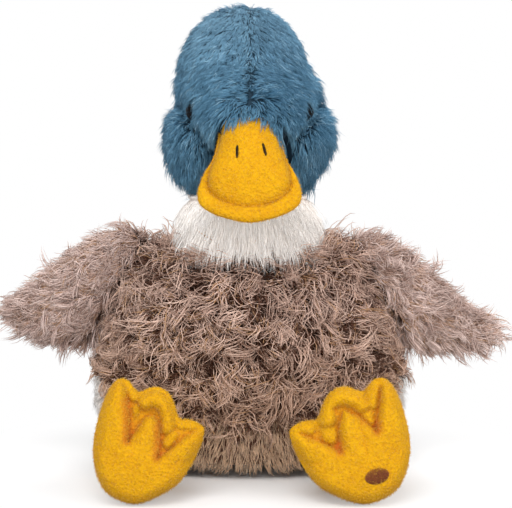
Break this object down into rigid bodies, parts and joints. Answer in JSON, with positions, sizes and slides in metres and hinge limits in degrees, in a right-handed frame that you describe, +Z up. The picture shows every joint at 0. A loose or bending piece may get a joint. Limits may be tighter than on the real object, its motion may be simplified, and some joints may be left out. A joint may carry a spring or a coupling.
{
  "type": "plush duck",
  "caption": "Sitting plush duck in long-pile fur with a velour bill and webbed feet; head turns and nods, wings and legs lift.",
  "frame": {"origin": "middle of the flat seat, on the plane that the duck sits on", "axes": "+Z up, -Y the way the duck faces, +X the duck's own left"},
  "size_m": [0.27, 0.2118, 0.25],
  "materials": {
    "blue_fur": "medium-pile faux fur, slate blue",
    "white_fur": "straight-pile faux fur, off-white",
    "brown_fur": "long curly faux fur, taupe brown",
    "pale_plush": "short-pile plush, cream",
    "yellow_velour": "velour, golden yellow",
    "stuffing": "loose polyester fibre filling",
    "pellet_cloth": "woven cloth bag filled with pellets",
    "black_eye": "polished black",
    "washer_plastic": "natural plastic",
    "brown_thread": "satin stitch embroidery thread, dark brown"
  },
  "bodies": {
    "torso": {"body_front_panel": "brown_fur", "body_back_panel": "brown_fur", "underside_panel": "pale_plush", "body_stuffing": "stuffing", "pellet_bag": "pellet_cloth", "tail": "brown_fur"},
    "neck": {"neck_collar": "white_fur", "neck_core": "stuffing"},
    "head": {"head_cover_left": "blue_fur", "head_cover_right": "blue_fur", "head_stuffing": "stuffing", "eye_left": "black_eye", "eye_right": "black_eye", "eye_washer_left": "washer_plastic", "eye_washer_right": "washer_plastic", "bill_top_panel": "yellow_velour", "bill_bottom_panel": "yellow_velour", "bill_stuffing": "stuffing", "nostril_stitch_left": "brown_thread", "nostril_stitch_right": "brown_thread"},
    "wing_left": {"wing_left_front_panel": "brown_fur", "wing_left_back_panel": "brown_fur", "wing_left_stuffing": "stuffing"},
    "wing_right": {"wing_right_front_panel": "brown_fur", "wing_right_back_panel": "brown_fur", "wing_right_stuffing": "stuffing"},
    "leg_left": {"leg_left_cover": "yellow_velour", "leg_left_stuffing": "stuffing", "foot_left_sole_panel": "yellow_velour", "foot_left_top_panel": "yellow_velour", "foot_left_stuffing": "stuffing"},
    "leg_right": {"leg_right_cover": "yellow_velour", "leg_right_stuffing": "stuffing", "foot_right_sole_panel": "yellow_velour", "foot_right_top_panel": "yellow_velour", "foot_right_stuffing": "stuffing"}
  },
  "joints": [
    {"name": "neck_turn", "type": "hinge", "parent": "torso", "child": "neck", "pos_m": [0, -0.005, 0.115], "axis": [0, 0, 1], "range_deg": [-25, 25], "stiffness_Nm_per_rad": 0.15},
    {"name": "head_nod", "type": "hinge", "parent": "neck", "child": "head", "pos_m": [0, -0.005, 0.188], "axis": [1, 0, 0], "range_deg": [-10, 10], "stiffness_Nm_per_rad": 0.4},
    {"name": "wing_left_lift", "type": "hinge", "parent": "torso", "child": "wing_left", "pos_m": [0.05, 0, 0.122], "axis": [0, -1, 0], "range_deg": [0, 60]},
    {"name": "wing_right_lift", "type": "hinge", "parent": "torso", "child": "wing_right", "pos_m": [-0.05, 0, 0.122], "axis": [0, 1, 0], "range_deg": [0, 60]},
    {"name": "leg_left_lift", "type": "hinge", "parent": "torso", "child": "leg_left", "pos_m": [0.0555, -0.0455, 0.028], "axis": [-1, 0, 0], "range_deg": [0, 25]},
    {"name": "leg_right_lift", "type": "hinge", "parent": "torso", "child": "leg_right", "pos_m": [-0.0555, -0.0455, 0.028], "axis": [-1, 0, 0], "range_deg": [0, 25]}
  ]
}
